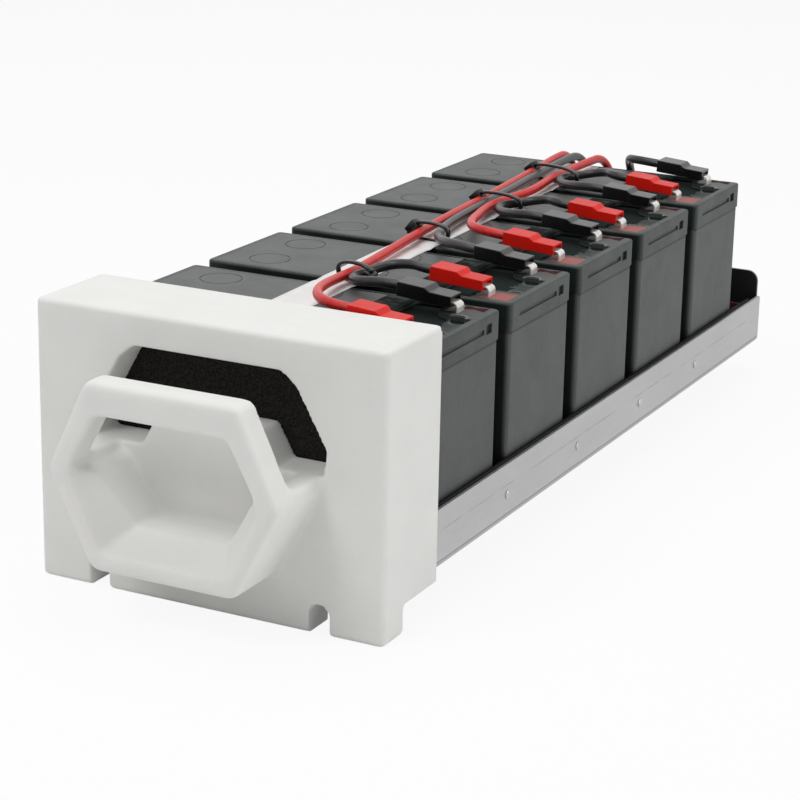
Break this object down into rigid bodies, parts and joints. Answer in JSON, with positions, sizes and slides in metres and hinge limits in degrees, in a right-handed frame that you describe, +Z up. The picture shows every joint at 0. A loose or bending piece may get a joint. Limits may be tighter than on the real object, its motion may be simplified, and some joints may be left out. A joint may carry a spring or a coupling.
{
  "type": "ups battery cartridge",
  "caption": "Slide-in battery tray with a hexagonal ring handle on its front bezel, sealed batteries in a row and a plug-in connector at the rear",
  "frame": {"origin": "Under the middle of the whole cartridge, on the surface that it stands on (the lowest edge of the bezel lip).", "axes": "+X is the right side seen from the front, +Y runs from the ring handle to the rear connector, +Z is up."},
  "size_m": [0.1628, 0.4926, 0.1236],
  "materials": {
    "bezel_white": "fine grained",
    "black_foam": "open cell foam, matte",
    "tray_steel": "bare sheet, lightly scratched",
    "black_strip": "matte",
    "panel_black": "gloss black",
    "fibre_red": "vulcanised fibre",
    "connector_black": "matte",
    "plated_steel": "zinc plated",
    "contact_brass": "bright",
    "case_green_grey": "matte with a fine grain",
    "lid_green_grey": "satin",
    "cover_grey": "smooth matte",
    "blade_tin": "tin plated",
    "sleeve_red": "soft vinyl",
    "sleeve_black": "soft vinyl",
    "tape_white": "paper tape, plain",
    "wire_red": "satin insulation",
    "wire_grey": "satin insulation",
    "wire_black": "satin insulation",
    "tie_black": "moulded nylon"
  },
  "bodies": {
    "root": {"battery_blades_1": "blade_tin", "battery_blades_2": "blade_tin", "battery_blades_3": "blade_tin", "battery_blades_4": "blade_tin", "battery_blades_5": "blade_tin", "battery_case_1": "case_green_grey", "battery_case_2": "case_green_grey", "battery_case_3": "case_green_grey", "battery_case_4": "case_green_grey", "battery_case_5": "case_green_grey", "battery_cover_1": "cover_grey", "battery_cover_2": "cover_grey", "battery_cover_3": "cover_grey", "battery_cover_4": "cover_grey", "battery_cover_5": "cover_grey", "battery_lid_1": "lid_green_grey", "battery_lid_2": "lid_green_grey", "battery_lid_3": "lid_green_grey", "battery_lid_4": "lid_green_grey", "battery_lid_5": "lid_green_grey", "battery_spacer_1": "black_strip", "battery_spacer_2": "black_strip", "battery_spacer_3": "black_strip", "battery_spacer_4": "black_strip", "bezel_foam": "black_foam", "bezel_screws": "plated_steel", "cable_tie_1": "tie_black", "cable_tie_2": "tie_black", "cable_tie_3": "tie_black", "cable_tie_4": "tie_black", "connector_contacts": "contact_brass", "connector_screws": "plated_steel", "floor_pad": "black_strip", "front_bezel": "bezel_white", "jumper_1_2": "wire_black", "jumper_3_4": "wire_black", "jumper_4_5": "wire_black", "negative_sleeve_1": "sleeve_black", "negative_sleeve_2": "sleeve_black", "negative_sleeve_3": "sleeve_black", "negative_sleeve_4": "sleeve_black", "negative_sleeve_5": "sleeve_black", "panel_screws": "plated_steel", "positive_sleeve_1": "sleeve_red", "positive_sleeve_2": "sleeve_red", "positive_sleeve_3": "sleeve_red", "positive_sleeve_4": "sleeve_red", "positive_sleeve_5": "sleeve_red", "rear_connector": "connector_black", "rear_insulator": "fibre_red", "rear_panel": "panel_black", "seal_tape": "tape_white", "side_liner_left": "black_strip", "side_liner_right": "black_strip", "side_rivets": "plated_steel", "tray": "tray_steel", "wire_black_5": "wire_black", "wire_grey_2": "wire_grey", "wire_red_1": "wire_red", "wire_red_3": "wire_red"}
  },
  "joints": []
}
